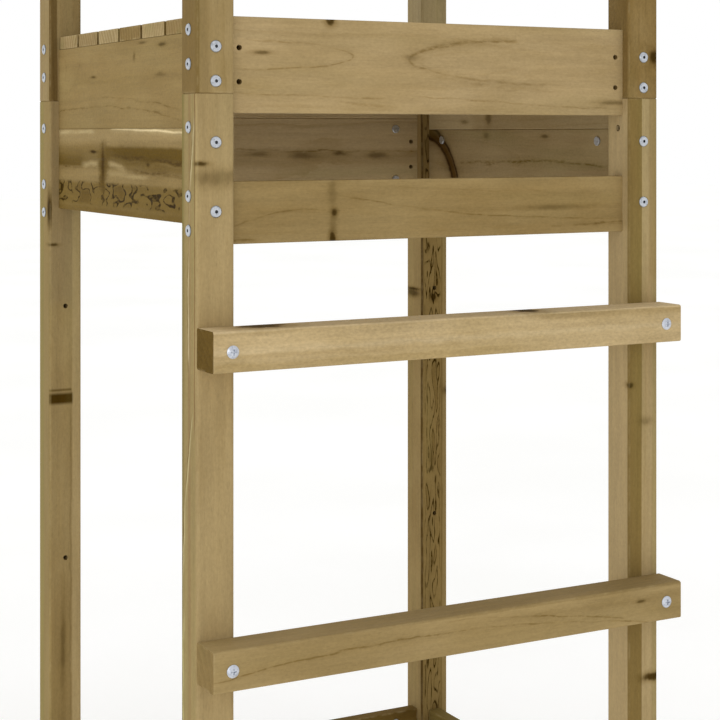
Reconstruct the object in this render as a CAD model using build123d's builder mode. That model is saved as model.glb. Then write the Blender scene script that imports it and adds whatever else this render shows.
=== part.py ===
from build123d import *
import os

# A small wooden climbing tower: four jointed posts, a boarded platform with
# rungs up its front, a base frame, guard boards round the deck and a top frame.
# Millimetres. +Z is up from the ground, the climbing side faces -Y, and the
# origin is on the ground under the middle of the whole tower.

# Overall sizes, over the outer faces of the posts
tower_width = 530.0
tower_depth = 465.0
tower_height = 1940.0
platform_height = 936.6          # ground to the top of the deck

# Timber
post_size = 38.0
post_edge_radius = 3.5
post_end_chamfer = 0.8
rung_size = 38.0
rung_edge_radius = 2.5
board_thickness = 16.0
board_edge_radius = 1.2
wide_board_height = 90.6
narrow_board_height = 58.7
deck_thickness = 14.0
deck_board_count = 6
deck_gap = 5.25                  # between deck boards, and from the outer ones to the posts

# Where things stand
joint_below_deck = 72.6          # the butt joint of the post lengths
step_pitch = 288.0               # from tread to tread, counted down from the deck
rung_count = 2
front_gap = 63.9                 # open slot between the two boards of the front
base_clearance = 0.8             # the base boards stand just off the ground
guard_gap = 85.0                 # open slot under each guard board
guard_count = 3
top_board_drop = 6.0             # from the post tops down to the top frame

# Connector bolts with barrel nuts
bolt_diameter = 6.0
bolt_hole_diameter = 7.0
bolt_head_diameter = 11.4
bolt_head_height = 1.4
bolt_head_bevel = 0.9
bolt_socket_flats = 3.0
bolt_socket_depth = 2.6
bolt_tip_chamfer = 1.0
bolt_past_nut = 6.0
bolt_end_room = 1.0              # free depth past the tip
nut_diameter = 10.0
nut_hole_clearance = 0.15        # radial
nut_thread_clearance = 0.1       # radial, stands in for the thread
nut_from_board_end = 32.0
nut_proud = 1.6                  # how far the nut's face stands out of the board
nut_floor_clearance = 0.1
nut_web = 3.0                    # wood left between the nut's hole and the outer face
nut_slot_width = 1.2
nut_slot_depth = 0.8
nut_chamfer = 0.4
wide_row_offset = 32.0           # bolt rows either side of a board's middle
close_row_offset = 16.0
top_row_down = 13.3              # first bolt row of the platform's top boards, down from the deck
side_row_down = 29.3             # first bolt row of the platform's side boards, down from the deck
row_pitch = 32.0
spare_bolt_short = 8.0           # a bolt in a spare hole ends this far inside the post

# Ready-drilled holes near the ends of the wide boards
end_hole_diameter = 5.5
end_hole_inset = 9.5

# Rung screws
rung_hole_diameter = 5.5
rung_screw_diameter = 5.0
rung_screw_grip = 30.0           # length held in the post
rung_screw_point = 5.0
rung_head_diameter = 12.0
rung_head_height = 2.6
rung_head_rim = 0.6
recess_arm = 5.6                 # cross recess, tip to tip
recess_width = 1.3
recess_depth = 1.6

# Deck screws
deck_screw_diameter = 4.0
deck_screw_length = 40.0
deck_screw_head = 8.0
deck_screw_sink = 0.4            # head below the surface of the board
deck_screw_clearance = 0.1       # radial
deck_screw_point = 4.0
deck_pilot_room = 1.0            # free depth past the point
deck_recess_arm = 4.5
deck_screw_from_bolt = 5.0       # room between a connector bolt's hole and a deck screw
countersink_angle = 90.0

# Dowels that hold the two lengths of a post in line
dowel_diameter = 8.0
dowel_length = 60.0
dowel_offset = 10.0              # from the middle of the post, clear of the bolts
dowel_clearance = 0.1            # radial
dowel_end_room = 1.0
dowel_chamfer = 0.5

os.makedirs("parts", exist_ok=True)

# Plan
front_overhang = rung_size + rung_head_height
half_width = tower_width / 2
front_face = (front_overhang - bolt_head_height - tower_depth) / 2
back_face = front_face + tower_depth
post_x = {"left": -half_width + post_size / 2, "right": half_width - post_size / 2}
post_y = {"front": front_face + post_size / 2, "back": back_face - post_size / 2}
outward = {"left": -1, "right": 1, "front": -1, "back": 1}
long_board_length = tower_width - 2 * post_size
side_board_length = tower_depth - 2 * post_size
middle_y = (front_face + back_face) / 2
board_recess = (post_size - board_thickness) / 2

# Heights
joint_height = platform_height - joint_below_deck
wide_half = wide_board_height / 2
platform_top_low = platform_height - wide_board_height
back_lower_low = platform_top_low - wide_board_height
side_upper_low = platform_height - deck_thickness - wide_board_height
side_lower_low = side_upper_low - wide_board_height
front_lower_low = platform_top_low - front_gap - narrow_board_height
top_frame_low = tower_height - top_board_drop - wide_board_height
guard_lows = [
    platform_height + guard_gap + level * (guard_gap + wide_board_height)
    for level in range(guard_count)
]
rung_tops = [platform_height - step_pitch * step for step in range(rung_count, 0, -1)]
rung_rows = [top - rung_size / 2 for top in rung_tops]


def rows_about(low, height, offset):
    """Two bolt rows, either side of the middle of a board."""
    middle = low + height / 2
    return [middle - offset, middle + offset]


top_rows = [platform_height - top_row_down - row_pitch, platform_height - top_row_down]
side_upper_rows = [platform_height - side_row_down - row_pitch, platform_height - side_row_down]
back_lower_rows = rows_about(back_lower_low, wide_board_height, wide_row_offset)
front_lower_rows = rows_about(front_lower_low, narrow_board_height, close_row_offset)
spare_row = {"front": back_lower_rows[1], "back": front_lower_rows[0]}

# Boards that run left to right: name, face, bottom, height, bolt rows, fastener group
long_boards = [
    ("front_top_board", "front", platform_top_low, wide_board_height, top_rows, "platform"),
    ("front_lower_board", "front", front_lower_low, narrow_board_height, front_lower_rows, "platform"),
    ("back_top_board", "back", platform_top_low, wide_board_height, top_rows, "platform"),
    ("back_lower_board", "back", back_lower_low, wide_board_height, back_lower_rows, "platform"),
]
# Boards that run front to back: name, side, bottom, bolt rows, fastener group
side_boards = []
for side in post_x:
    side_boards.append((f"{side}_upper_board", side, side_upper_low, side_upper_rows, "platform"))
    side_lower_rows = rows_about(side_lower_low, wide_board_height, wide_row_offset)
    side_boards.append((f"{side}_lower_board", side, side_lower_low, side_lower_rows, "platform"))

# The base frame and the top frame close all four sides
for frame_name, low in (("base", base_clearance), ("top", top_frame_low)):
    for face in post_y:
        rows = rows_about(low, wide_board_height, wide_row_offset)
        name = f"{frame_name}_{face}_board"
        long_boards.append((name, face, low, wide_board_height, rows, frame_name))
    for side in post_x:
        rows = rows_about(low, wide_board_height, close_row_offset)
        side_boards.append((f"{frame_name}_{side}_board", side, low, rows, frame_name))

# Guard boards on the back and both sides: the front stays open to climb in
for level, low in enumerate(guard_lows, start=1):
    rows = rows_about(low, wide_board_height, wide_row_offset)
    long_boards.append((f"back_guard_board_{level}", "back", low, wide_board_height, rows, "guard"))
    for side in post_x:
        rows = rows_about(low, wide_board_height, close_row_offset)
        side_boards.append((f"{side}_guard_board_{level}", side, low, rows, "guard"))

bolt_length = post_size + nut_from_board_end + bolt_past_nut
board_bore_depth = nut_from_board_end + bolt_past_nut + bolt_end_room
nut_hole_depth = board_thickness - nut_web
nut_length = nut_hole_depth - nut_floor_clearance + nut_proud
bolt_places = {"platform": [], "base": [], "guard": [], "top": []}
nut_places = {"platform": [], "base": [], "guard": [], "top": []}


def across(x, y, z, direction):
    """A plane on a left or right face, its normal along X."""
    return Plane(origin=(x, y, z), x_dir=(0, 0, 1), z_dir=(direction, 0, 0))


def along(x, y, z, direction):
    """A plane on a front or back face, its normal along Y."""
    return Plane(origin=(x, y, z), x_dir=(0, 0, 1), z_dir=(0, direction, 0))


# Posts: each corner has a lower and an upper length, butted at the joint
for side in post_x:
    for face in post_y:
        bolt_rows_x = [row for board in long_boards if board[1] == face for row in board[4]]
        bolt_rows_x.append(spare_row[face])
        bolt_rows_y = [row for board in side_boards if board[1] == side for row in board[3]]
        lengths = {"lower": (0.0, joint_height), "upper": (joint_height, tower_height)}
        for part_name, (low, high) in lengths.items():
            with BuildPart() as post:
                with BuildSketch(Plane.XY.offset(low)):
                    with Locations((post_x[side], post_y[face])):
                        Rectangle(post_size, post_size)
                extrude(amount=high - low)
                fillet(post.edges().filter_by(Axis.Z), post_edge_radius)
                ends = post.faces().filter_by(Axis.Z).edges()
                chamfer(ends, post_end_chamfer)
                for row in bolt_rows_x:
                    if low < row < high:
                        start = across(post_x[side] - post_size / 2, post_y[face], row, 1)
                        with BuildSketch(start):
                            Circle(bolt_hole_diameter / 2)
                        extrude(amount=post_size, mode=Mode.SUBTRACT)
                for row in bolt_rows_y:
                    if low < row < high:
                        start = along(post_x[side], post_y[face] - post_size / 2, row, 1)
                        with BuildSketch(start):
                            Circle(bolt_hole_diameter / 2)
                        extrude(amount=post_size, mode=Mode.SUBTRACT)
                if part_name == "lower":
                    for row in rung_rows:
                        start = along(post_x[side], post_y[face] - post_size / 2, row, 1)
                        with BuildSketch(start):
                            Circle(rung_hole_diameter / 2)
                        extrude(amount=post_size, mode=Mode.SUBTRACT)
                into_post = 1 if part_name == "upper" else -1
                with BuildSketch(Plane.XY.offset(joint_height)):
                    with Locations((post_x[side], post_y[face])):
                        slant = dowel_offset * outward[side]
                        with Locations((slant, dowel_offset), (-slant, -dowel_offset)):
                            Circle(dowel_diameter / 2 + dowel_clearance)
                dowel_depth = dowel_length / 2 + dowel_end_room
                extrude(amount=into_post * dowel_depth, mode=Mode.SUBTRACT)
            post.part.label = f"{part_name}_post_{face}_{side}"
            export_step(post.part, f"parts/{post.part.label}.step")

# Dowels across the post joints
with BuildPart() as post_dowels:
    with BuildSketch(Plane.XY.offset(joint_height)):
        for side in post_x:
            slant = dowel_offset * outward[side]
            for face in post_y:
                with Locations((post_x[side], post_y[face])):
                    with Locations((slant, dowel_offset), (-slant, -dowel_offset)):
                        Circle(dowel_diameter / 2)
    extrude(amount=dowel_length / 2, both=True)
    chamfer(post_dowels.faces().filter_by(Axis.Z).edges(), dowel_chamfer)
post_dowels.part.label = "post_dowels"
export_step(post_dowels.part, "parts/post_dowels.step")

# Boards between the posts, left to right
for name, face, low, height, rows, group in long_boards:
    middle_z = low + height / 2
    inner_y = post_y[face] - outward[face] * board_thickness / 2
    with BuildPart() as board:
        with BuildSketch(along(0, inner_y, middle_z, outward[face])):
            Rectangle(height, long_board_length)
        extrude(amount=board_thickness)
        fillet(board.edges().filter_by(Axis.X), board_edge_radius)
        for side in post_x:
            end_x = outward[side] * long_board_length / 2
            nut_x = end_x - outward[side] * nut_from_board_end
            for row in rows:
                with BuildSketch(across(end_x, post_y[face], row, -outward[side])):
                    Circle(bolt_hole_diameter / 2)
                extrude(amount=board_bore_depth, mode=Mode.SUBTRACT)
                with BuildSketch(along(nut_x, inner_y, row, outward[face])):
                    Circle(nut_diameter / 2 + nut_hole_clearance)
                extrude(amount=nut_hole_depth, mode=Mode.SUBTRACT)
                head_x = outward[side] * half_width
                bolt_places[group].append(across(head_x, post_y[face], row, -outward[side]))
                nut_places[group].append(
                    Plane(origin=(nut_x, inner_y, row), x_dir=(1, 0, 0), z_dir=(0, outward[face], 0))
                )
            if height == wide_board_height:
                hole_x = end_x - outward[side] * end_hole_inset
                for row in rows_about(low, height, close_row_offset):
                    with BuildSketch(along(hole_x, inner_y, row, outward[face])):
                        Circle(end_hole_diameter / 2)
                    extrude(amount=board_thickness, mode=Mode.SUBTRACT)
    board.part.label = name
    export_step(board.part, f"parts/{name}.step")

# Deck screws sit over the middle of the side boards. The outer deck boards'
# screws miss the connector bolts in the board ends below them.
deck_width = (side_board_length - (deck_board_count + 1) * deck_gap) / deck_board_count
deck_low = platform_height - deck_thickness
first_deck_y = front_face + post_size + deck_gap + deck_width / 2
deck_middles = [first_deck_y + index * (deck_width + deck_gap) for index in range(deck_board_count)]
deck_screw_rows = list(deck_middles)
deck_screw_rows[0] = front_face + post_size + board_bore_depth + deck_screw_from_bolt
deck_screw_rows[-1] = back_face - post_size - board_bore_depth - deck_screw_from_bolt
deck_screw_hole = deck_screw_diameter / 2 + deck_screw_clearance

# Boards between the posts, front to back
for name, side, low, rows, group in side_boards:
    middle_z = low + wide_half
    inner_x = post_x[side] - outward[side] * board_thickness / 2
    with BuildPart() as board:
        with BuildSketch(across(inner_x, middle_y, middle_z, outward[side])):
            Rectangle(wide_board_height, side_board_length)
        extrude(amount=board_thickness)
        fillet(board.edges().filter_by(Axis.Y), board_edge_radius)
        for face in post_y:
            end_y = middle_y + outward[face] * side_board_length / 2
            nut_y = end_y - outward[face] * nut_from_board_end
            for row in rows:
                with BuildSketch(along(post_x[side], end_y, row, -outward[face])):
                    Circle(bolt_hole_diameter / 2)
                extrude(amount=board_bore_depth, mode=Mode.SUBTRACT)
                with BuildSketch(across(inner_x, nut_y, row, outward[side])):
                    Circle(nut_diameter / 2 + nut_hole_clearance)
                extrude(amount=nut_hole_depth, mode=Mode.SUBTRACT)
                head_y = middle_y + outward[face] * tower_depth / 2
                bolt_places[group].append(along(post_x[side], head_y, row, -outward[face]))
                nut_places[group].append(
                    Plane(origin=(inner_x, nut_y, row), x_dir=(0, 1, 0), z_dir=(outward[side], 0, 0))
                )
        if low == side_upper_low:
            pilot_depth = deck_screw_length - deck_thickness + deck_pilot_room
            with BuildSketch(Plane.XY.offset(deck_low)):
                with Locations(*[(post_x[side], row) for row in deck_screw_rows]):
                    Circle(deck_screw_hole)
            extrude(amount=-pilot_depth, mode=Mode.SUBTRACT)
    board.part.label = name
    export_step(board.part, f"parts/{name}.step")

# Deck boards, laid across the side boards and flush with their outer faces
deck_length = tower_width - 2 * board_recess
for index, deck_y in enumerate(deck_middles):
    with BuildPart() as deck_board:
        with BuildSketch(Plane.XY.offset(deck_low)):
            with Locations((0, deck_y)):
                Rectangle(deck_length, deck_width)
        extrude(amount=deck_thickness)
        fillet(deck_board.edges().filter_by(Axis.X), board_edge_radius)
        with Locations(*[(x, deck_screw_rows[index], platform_height) for x in post_x.values()]):
            CounterSinkHole(
                radius=deck_screw_hole,
                counter_sink_radius=deck_screw_head / 2 + deck_screw_clearance + deck_screw_sink,
                depth=deck_thickness,
                counter_sink_angle=countersink_angle,
            )
    deck_board.part.label = f"deck_board_{index + 1}"
    export_step(deck_board.part, f"parts/{deck_board.part.label}.step")

# Rungs, screwed to the front of the posts with their ends flush
for name, row in zip(("lower_rung", "upper_rung"), rung_rows):
    with BuildPart() as rung:
        with BuildSketch(across(-half_width, front_face - rung_size / 2, row, 1)):
            Rectangle(rung_size, rung_size)
        extrude(amount=tower_width)
        fillet(rung.edges().filter_by(Axis.X), rung_edge_radius)
        for x in post_x.values():
            with BuildSketch(along(x, front_face - rung_size, row, 1)):
                Circle(rung_hole_diameter / 2)
            extrude(amount=rung_size, mode=Mode.SUBTRACT)
    rung.part.label = name
    export_step(rung.part, f"parts/{name}.step")


def make_bolt(length):
    """A connector bolt along +Z, its head standing out below Z 0."""
    shank = bolt_diameter / 2
    head = bolt_head_diameter / 2
    with BuildPart() as bolt:
        with BuildSketch(Plane.XZ):
            with BuildLine():
                Polyline(
                    (0, length),
                    (shank - bolt_tip_chamfer, length),
                    (shank, length - bolt_tip_chamfer),
                    (shank, 0),
                    (head, 0),
                    (head, bolt_head_bevel - bolt_head_height),
                    (head - bolt_head_bevel, -bolt_head_height),
                    (0, -bolt_head_height),
                    (0, length),
                )
            make_face()
        revolve(axis=Axis.Z)
        with BuildSketch(Plane.XY.offset(-bolt_head_height)):
            RegularPolygon(radius=bolt_socket_flats / 2, side_count=6, major_radius=False)
        extrude(amount=bolt_socket_depth, mode=Mode.SUBTRACT)
    return bolt.part


# A barrel nut along +Z from the board's inner face, its face proud below Z 0
with BuildPart(mode=Mode.PRIVATE) as barrel_nut:
    with BuildSketch(Plane.XY.offset(-nut_proud)):
        Circle(nut_diameter / 2)
    extrude(amount=nut_length)
    chamfer(barrel_nut.edges().filter_by(GeomType.CIRCLE), nut_chamfer)
    with BuildSketch(Plane.XY.offset(-nut_proud)):
        Rectangle(nut_diameter, nut_slot_width)
    extrude(amount=nut_slot_depth, mode=Mode.SUBTRACT)
    with BuildSketch(Plane.YZ):
        with Locations((0, board_thickness / 2)):
            Circle(bolt_diameter / 2 + nut_thread_clearance)
    extrude(amount=nut_diameter, both=True, mode=Mode.SUBTRACT)

# Connector bolts and barrel nuts, one node for each level of the tower
connector_bolt = make_bolt(bolt_length)
for group in bolt_places:
    with BuildPart() as bolts:
        with Locations(*bolt_places[group]):
            add(connector_bolt)
    bolts.part.label = f"{group}_bolts"
    export_step(bolts.part, f"parts/{group}_bolts.step")
    with BuildPart() as nuts:
        with Locations(*nut_places[group]):
            add(barrel_nut.part)
    nuts.part.label = f"{group}_barrel_nuts"
    export_step(nuts.part, f"parts/{group}_barrel_nuts.step")

# Short bolts that close the post holes with no board behind them
short_bolt = make_bolt(post_size - spare_bolt_short)
spare_places = []
for side in post_x:
    for face in post_y:
        head_x = outward[side] * half_width
        spare_places.append(across(head_x, post_y[face], spare_row[face], -outward[side]))
with BuildPart() as spare_bolts:
    with Locations(*spare_places):
        add(short_bolt)
spare_bolts.part.label = "spare_hole_bolts"
export_step(spare_bolts.part, "parts/spare_hole_bolts.step")

# A rung screw along +Z: a domed head with a cross recess, standing out below Z 0
with BuildPart(mode=Mode.PRIVATE) as rung_screw:
    head = rung_head_diameter / 2
    shank = rung_screw_diameter / 2
    screw_length = rung_size + rung_screw_grip
    with BuildSketch(Plane.XZ):
        with BuildLine():
            Polyline(
                (0, -rung_head_height),
                (0, screw_length),
                (shank, screw_length - rung_screw_point),
                (shank, 0),
                (head, 0),
                (head, -rung_head_rim),
            )
            TangentArc((0, -rung_head_height), (head, -rung_head_rim), tangent=(1, 0))
        make_face()
    revolve(axis=Axis.Z)
    with BuildSketch(Plane.XY.offset(-rung_head_height)):
        Rectangle(recess_arm, recess_width)
        Rectangle(recess_width, recess_arm)
    extrude(amount=recess_depth, mode=Mode.SUBTRACT)

with BuildPart() as rung_screws:
    for row in rung_rows:
        with Locations(*[along(x, front_face - rung_size, row, 1) for x in post_x.values()]):
            add(rung_screw.part)
rung_screws.part.label = "rung_screws"
export_step(rung_screws.part, "parts/rung_screws.step")

# Deck screws: countersunk, straight down through the deck boards
with BuildPart(mode=Mode.PRIVATE) as deck_screw:
    head = deck_screw_head / 2
    shank = deck_screw_diameter / 2
    top = platform_height - deck_screw_sink
    with BuildSketch(Plane.XZ):
        with BuildLine():
            Polyline(
                (0, top),
                (head, top),
                (shank, top - head + shank),
                (shank, platform_height - deck_screw_length + deck_screw_point),
                (0, platform_height - deck_screw_length),
                (0, top),
            )
        make_face()
    revolve(axis=Axis.Z)
    with BuildSketch(Plane.XY.offset(top)):
        Rectangle(deck_recess_arm, recess_width)
        Rectangle(recess_width, deck_recess_arm)
    extrude(amount=-recess_depth, mode=Mode.SUBTRACT)

with BuildPart() as deck_screws:
    for row in deck_screw_rows:
        with Locations(*[(x, row, 0) for x in post_x.values()]):
            add(deck_screw.part)
deck_screws.part.label = "deck_screws"
export_step(deck_screws.part, "parts/deck_screws.step")
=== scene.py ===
import math
import random

import bpy
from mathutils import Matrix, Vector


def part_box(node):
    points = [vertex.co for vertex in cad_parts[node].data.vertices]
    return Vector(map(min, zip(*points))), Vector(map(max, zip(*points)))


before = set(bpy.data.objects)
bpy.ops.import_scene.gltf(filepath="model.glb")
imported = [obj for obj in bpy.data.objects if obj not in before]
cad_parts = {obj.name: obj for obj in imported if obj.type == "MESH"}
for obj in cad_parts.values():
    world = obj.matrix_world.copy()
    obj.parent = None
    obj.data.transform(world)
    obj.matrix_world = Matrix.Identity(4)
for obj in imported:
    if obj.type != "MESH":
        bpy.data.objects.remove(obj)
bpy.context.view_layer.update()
scene = bpy.context.scene
print("frame loaded:", len(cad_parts), "pieces")


def paint(red, green, blue):
    # a paint-chart colour, 0 to 255, as Blender wants it
    def bright(value):
        share = value / 255
        return share / 12.92 if share <= 0.04045 else ((share + 0.055) / 1.055) ** 2.4
    return (bright(red), bright(green), bright(blue), 1.0)


# camera

cameraSetup = {
    "stands": (-0.8770, -1.6509, 0.8264),
    "turned": -27.68,      # degrees about the upright, eye level
    "sensor": 36.0,        # millimetres, as the lens is
    "lens": 84.97,
    "slideRight": 0.0356,
    "slideDown": -0.3139,
    "near": 0.05,
    "far": 100.0,
}


def placeCamera(setup):
    data = bpy.data.cameras.new("camera")
    data.sensor_width = setup["sensor"]
    data.sensor_fit = "HORIZONTAL"
    data.lens = setup["lens"]
    data.shift_x = setup["slideRight"]
    data.shift_y = setup["slideDown"]
    data.clip_start = setup["near"]
    data.clip_end = setup["far"]
    data.dof.use_dof = False
    camera = bpy.data.objects.new("camera", data)
    camera.location = setup["stands"]
    camera.rotation_euler = (math.radians(90), 0, math.radians(setup["turned"]))
    scene.collection.objects.link(camera)
    scene.camera = camera


placeCamera(cameraSetup)
print("camera placed")


# shader writing

class Wire:
    # one socket, with the sums that a material is written in
    def __init__(self, bench, socket):
        self.bench = bench
        self.socket = socket

    def work(self, operation, *values):
        return self.bench.node("ShaderNodeMath", {"operation": operation}, dict(enumerate(values)))

    def __add__(self, other):
        return self.work("ADD", self, other)

    def __radd__(self, other):
        return self.work("ADD", other, self)

    def __sub__(self, other):
        return self.work("SUBTRACT", self, other)

    def __rsub__(self, other):
        return self.work("SUBTRACT", other, self)

    def __mul__(self, other):
        return self.work("MULTIPLY", self, other)

    def __rmul__(self, other):
        return self.work("MULTIPLY", other, self)

    def __truediv__(self, other):
        return self.work("DIVIDE", self, other)

    def __rtruediv__(self, other):
        return self.work("DIVIDE", other, self)

    def __abs__(self):
        return self.work("ABSOLUTE", self)

    def least(self, other):
        return self.work("MINIMUM", self, other)

    def most(self, other):
        return self.work("MAXIMUM", self, other)

    def fraction(self):
        return self.work("FRACT", self)

    def rise(self, low, high):
        # 0 below low, 1 above high, a soft step between
        settings = {"interpolation_type": "SMOOTHSTEP"}
        return self.bench.node("ShaderNodeMapRange", settings, {0: self, 1: low, 2: high})

    def fall(self, low, high):
        settings = {"interpolation_type": "SMOOTHSTEP"}
        return self.bench.node("ShaderNodeMapRange", settings, {0: self, 1: low, 2: high, 3: 1.0, 4: 0.0})


class Bench:
    # the node tree of one material
    def __init__(self, name):
        self.material = bpy.data.materials.new(name)
        self.material.use_nodes = True
        self.tree = self.material.node_tree
        self.tree.nodes.clear()

    def node(self, kind, settings=None, values=None, output=0):
        made = self.tree.nodes.new(kind)
        for name, value in (settings or {}).items():
            setattr(made, name, value)
        for name, value in (values or {}).items():
            if isinstance(value, Wire):
                self.tree.links.new(value.socket, made.inputs[name])
            else:
                made.inputs[name].default_value = value
        return Wire(self, made.outputs[output])

    def vector(self, operation, *values, output=0):
        return self.node("ShaderNodeVectorMath", {"operation": operation}, dict(enumerate(values)), output)

    def mix(self, share, first, second, blend="MIX"):
        return self.node(
            "ShaderNodeMix",
            {"data_type": "RGBA", "blend_type": blend},
            {0: share, 6: first, 7: second},
            2,
        )

    def part(self, vector, side):
        return self.node("ShaderNodeSeparateXYZ", {}, {0: vector}, side)

    def join(self, first, second, third):
        return self.node("ShaderNodeCombineXYZ", {}, {0: first, 1: second, 2: third})

    def cloud(self, place, stretch, shift, detail=2.0, rough=0.5, output=0):
        # noise drawn out by stretch, in cells per metre
        spot = self.vector("MULTIPLY_ADD", place, stretch, shift)
        return self.node(
            "ShaderNodeTexNoise",
            {},
            {"Vector": spot, "Scale": 1.0, "Detail": detail, "Roughness": rough},
            output,
        )

    def finishSurface(self, values):
        surface = self.node("ShaderNodeBsdfPrincipled", {}, values)
        last = self.tree.nodes.new("ShaderNodeOutputMaterial")
        self.tree.links.new(surface.socket, last.inputs["Surface"])
        return self.material


# pine

mm = 0.001

pineLook = {
    "pale": (160, 139, 99),
    "warm": (146, 122, 78),
    "endPale": (126, 102, 58),
    "endDark": (96, 73, 34),
    # colour of the rubbed arrises, partly a painted highlight
    "wornAndHighlit": (184, 166, 126),
    "damp": (128, 124, 72),
    "faint": (198, 186, 148),     # filters laid over the wood: year lines, strong lines, knots and painted shade in deck gaps, and the hearts of knots
    "brown": (170, 153, 94),      # strong lines and knots,
    "pitch": (128, 110, 46),      # and the hearts of knots
    "sap": (52, 36, 2),           # what the darkest marks are painted with
    "heart": (12, 78),            # middle of the tree, from the middle of the piece, across and through
    "ring": 5.2,                  # one year's growth
    "bend": 16,                   # how far the tree's middle wanders
    "lineShare": 0.55,            # strength of the year lines
    "wearAndHighlight": 0.30,                 # of the rubbed arrises: partly wear, partly painted highlight
    "green": 0.25,                # of the wood salts
    "endShare": 0.85,             # of the end grain's own colours
    "gapShadeShare": 0.0,             # of the painted shade on board sides that face the gaps
    "mottle": 0.34,
    "cloudy": 0.30,
}

# noises of the wood: cells per metre along, across and through, then detail and roughness
grain = {
    "drift": ((2.6, 9.0, 9.0), 2.0, 0.45),
    "ragged": ((38.0, 120.0, 120.0), 3.0, 0.6),
    "sway": ((24.0, 60.0, 60.0), 2.0, 0.5),
    "wobble": ((70.0, 130.0, 130.0), 3.0, 0.6),
    "patchy": ((14.0, 45.0, 45.0), 3.0, 0.6),
    "broken": ((110.0, 300.0, 300.0), 2.0, 0.6),
    "fibre": ((60.0, 900.0, 900.0), 2.0, 0.6),
    "streak": ((6.0, 130.0, 130.0), 3.0, 0.6),
    "mottle": ((260.0, 420.0, 420.0), 3.0, 0.65),
    "blotch": ((9.0, 24.0, 24.0), 3.0, 0.5),
    "pore": ((150.0, 1300.0, 1300.0), 1.0, 0.5),
    "rub": ((60.0, 60.0, 60.0), 3.0, 0.6),
    "salts": ((3.0, 30.0, 30.0), 2.0, 0.5),
    "cloudy": ((5.0, 16.0, 16.0), 2.0, 0.5),
}

# where a noise, or the way through a year or a mark, turns from nothing to all
turns = {
    "patchy": (0.38, 0.60), "broken": (0.36, 0.58), "pore": (0.62, 0.74), "blotch": (0.3, 0.7),
    "rub": (0.40, 0.65), "salts": (0.50, 0.75), "curlPatch": (0.5, 0.7),
    "endOn": (0.6, 0.9), "sideOn": (0.7, 0.95),
    "lateStart": (0.62, 0.93), "lateStop": (0.95, 1.0), "endYear": (0.1, 0.9),
    "curlStart": (0.64, 0.80), "curlStop": (0.91, 1.0),
    "knotLift": (0.4, 4.2), "knotHalo": (0.8, 2.4), "knotCore": (0.3, 1.1),
}

# how far lines and knots stray from their own shape
stray = {
    "sway": 7,                               # millimetres
    "veinDrift": 3, "veinRagged": 2.2,
    "loopRagged": 2.6,
    "loopDrift": 0.5, "loopSway": 1.2,       # in the loop's own sizes, and times the sway
    "knotWarp": 1.1,                         # in the knot's own sizes
    "yearRagged": 0.4,                       # in years
}

# what stays of a line where a patchy noise thins it most
leftOf = {"line": 0.15, "broken": 0.35, "curl": 0.6, "knot": 0.75}

# what a mark has where its piece says nothing, lengths in millimetres
bandLook = {"on": 0, "wander": 4, "rag": 1.0, "soft": 1.5, "fade": None, "snap": 12, "lift": 0.0}
veinLook = {
    "on": 0, "curve": 0.0, "slope": 0.0, "sway": 1.0, "steady": 0.30, "fade": 12,
    "core": 0.8, "halo": 0.2, "haloWide": 3.5,
}
loopLook = {"fade": 25, "steady": 0.15, "core": 0.75, "halo": 0.25, "haloWide": 4}
knotLook = {"soft": 0.2, "inner": 0.75, "outer": 1.05, "spread": 0.6, "halo": 0.5, "core": 0.6}
curlLook = {"soft": 2.5, "detail": 1.2, "rough": 0.4, "patch": 0.4}
lineCore = 0.1
arris = (0.4, 2.6)                           # where the rubbed edge, with its painted highlight, ends

# end grain, between its pale and dark: by the year, by raggedness, and everywhere
endMix = {"year": 0.7, "ragged": 0.5, "least": 0.1}

# how strongly each layer shades the colour, lifts the surface and roughens it
layers = {
    "shade": {"fibre": 0.20, "streak": 0.34, "pore": 0.07},
    "height": {"fibre": 0.45, "streak": 0.25, "mottle": 0.3, "lines": 0.3, "pore": 0.4, "wornAndHighlit": 0.25,
               "knot": 0.3},
    "rough": {"wood": 0.66, "fibre": 0.30, "lines": 0.10, "wornAndHighlit": 0.08, "endOn": 0.10},
}

# what the whole surface shares
woodSkin = {
    "bumpStrength": 0.35, "bumpDistance": 0.0006,
    "specular": 0.03, "specularTint": (242, 214, 150),
}

# faces that a mark may be kept to: 0 across or 1 through, and how far from the middle
barFront, barLeft = (1, -19), (0, -19)   # of a post or rung
nearFace, farFace = (1, -8), (1, 8)      # of a board: towards the front or left, and the other
skinDepth = (2.0, 3.4)                   # where such a mark fades out


def inMetres(sizes):
    return tuple(size * mm for size in sizes)


def window(side, low, high, soft, fade=None):
    # 1 between low and high, in millimetres, with its own softness at the low side if fade is given
    fade = soft if fade is None else fade
    opens = side.rise((low - fade) * mm, (low + fade) * mm)
    return opens * side.fall((high - soft) * mm, (high + soft) * mm)


def lineMark(off, line):
    # the dark middle of a line, in a fainter halo
    core = off.fall(lineCore * mm, line["wide"] * mm) * line["core"]
    return core + off.fall(0.0, line["wide"] * line["haloWide"] * mm) * line["halo"]


def thinned(noise, least):
    # 1 where the noise is full, and least where it is empty
    return least + noise * (1 - least)


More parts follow.
